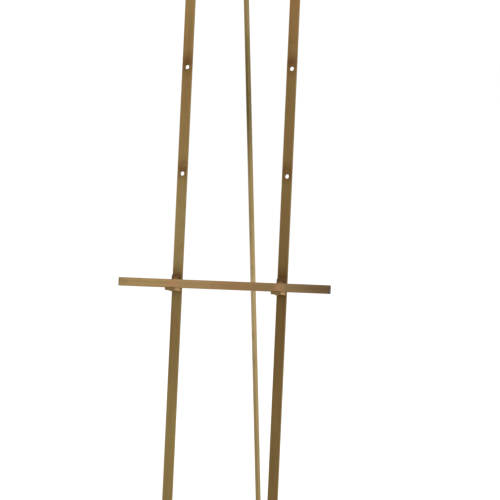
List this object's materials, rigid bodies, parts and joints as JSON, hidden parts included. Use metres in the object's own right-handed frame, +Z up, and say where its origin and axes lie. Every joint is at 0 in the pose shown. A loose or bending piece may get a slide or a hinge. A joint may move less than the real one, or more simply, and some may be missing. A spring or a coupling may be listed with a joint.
{
  "type": "display easel",
  "caption": "Free-standing display easel: two leaning flat-bar uprights, a rear leg hinged at the top and a ledge on pegs.",
  "frame": {"origin": "on the floor under the middle of the bounding box", "axes": "+Z up; the front, with the ledge, faces -Y; +X is to the right of someone facing it"},
  "size_m": [0.4064, 0.3708, 1.2547],
  "materials": {
    "frame_brass": "aged brass, satin, with olive and reddish patches",
    "leg_brass": "aged brass, satin, paler",
    "ledge_brass": "aged brass, satin",
    "fastener_brass": "brass, turned",
    "bush_bronze": "sintered bronze",
    "spacer_plastic": "nylon",
    "plug_plastic": "dark brown moulded plastic",
    "boot_rubber": "matt black rubber"
  },
  "bodies": {
    "frame": {"left_upright": "frame_brass", "left_front_boot": "boot_rubber", "right_upright": "frame_brass", "right_front_boot": "boot_rubber", "top_crossbar": "frame_brass", "lower_crossbar": "frame_brass", "top_bar_screws": "fastener_brass", "top_bar_washers": "fastener_brass", "top_bar_nuts": "fastener_brass", "lower_bar_screws": "fastener_brass", "lower_bar_washers": "fastener_brass", "lower_bar_nuts": "fastener_brass", "hinge_bracket": "frame_brass", "bracket_rivets": "fastener_brass", "hinge_pin": "fastener_brass", "hinge_pin_nut": "fastener_brass", "hinge_spacers": "spacer_plastic", "peg_washers": "fastener_brass"},
    "leg": {"rear_leg": "leg_brass", "hinge_bush": "bush_bronze", "rear_boot": "boot_rubber"},
    "ledge": {"ledge_tube": "ledge_brass", "left_ledge_plug": "plug_plastic", "right_ledge_plug": "plug_plastic", "left_ledge_bracket": "ledge_brass", "right_ledge_bracket": "ledge_brass", "left_peg": "fastener_brass", "right_peg": "fastener_brass", "ledge_screws": "fastener_brass"},
    "left_nut": {"left_thumb_nut": "fastener_brass"},
    "right_nut": {"right_thumb_nut": "fastener_brass"}
  },
  "joints": [
    {"name": "leg_fold", "type": "hinge", "parent": "frame", "child": "leg", "pos_m": [0, 0.04688, 1.14959], "axis": [-1, 0, 0], "range_deg": [0, 16.3]},
    {"name": "ledge_pull_off", "type": "slide", "parent": "frame", "child": "ledge", "axis": [0, -0.9848, 0.1736], "range_m": [0, 0.03]},
    {"name": "left_nut_turn", "type": "hinge", "parent": "frame", "child": "left_nut", "pos_m": [-0.102, -0.07375, 0.60425], "axis": [0, 0.9848, -0.1736], "continuous": true},
    {"name": "right_nut_turn", "type": "hinge", "parent": "frame", "child": "right_nut", "pos_m": [0.102, -0.07375, 0.60425], "axis": [0, 0.9848, -0.1736], "continuous": true}
  ]
}
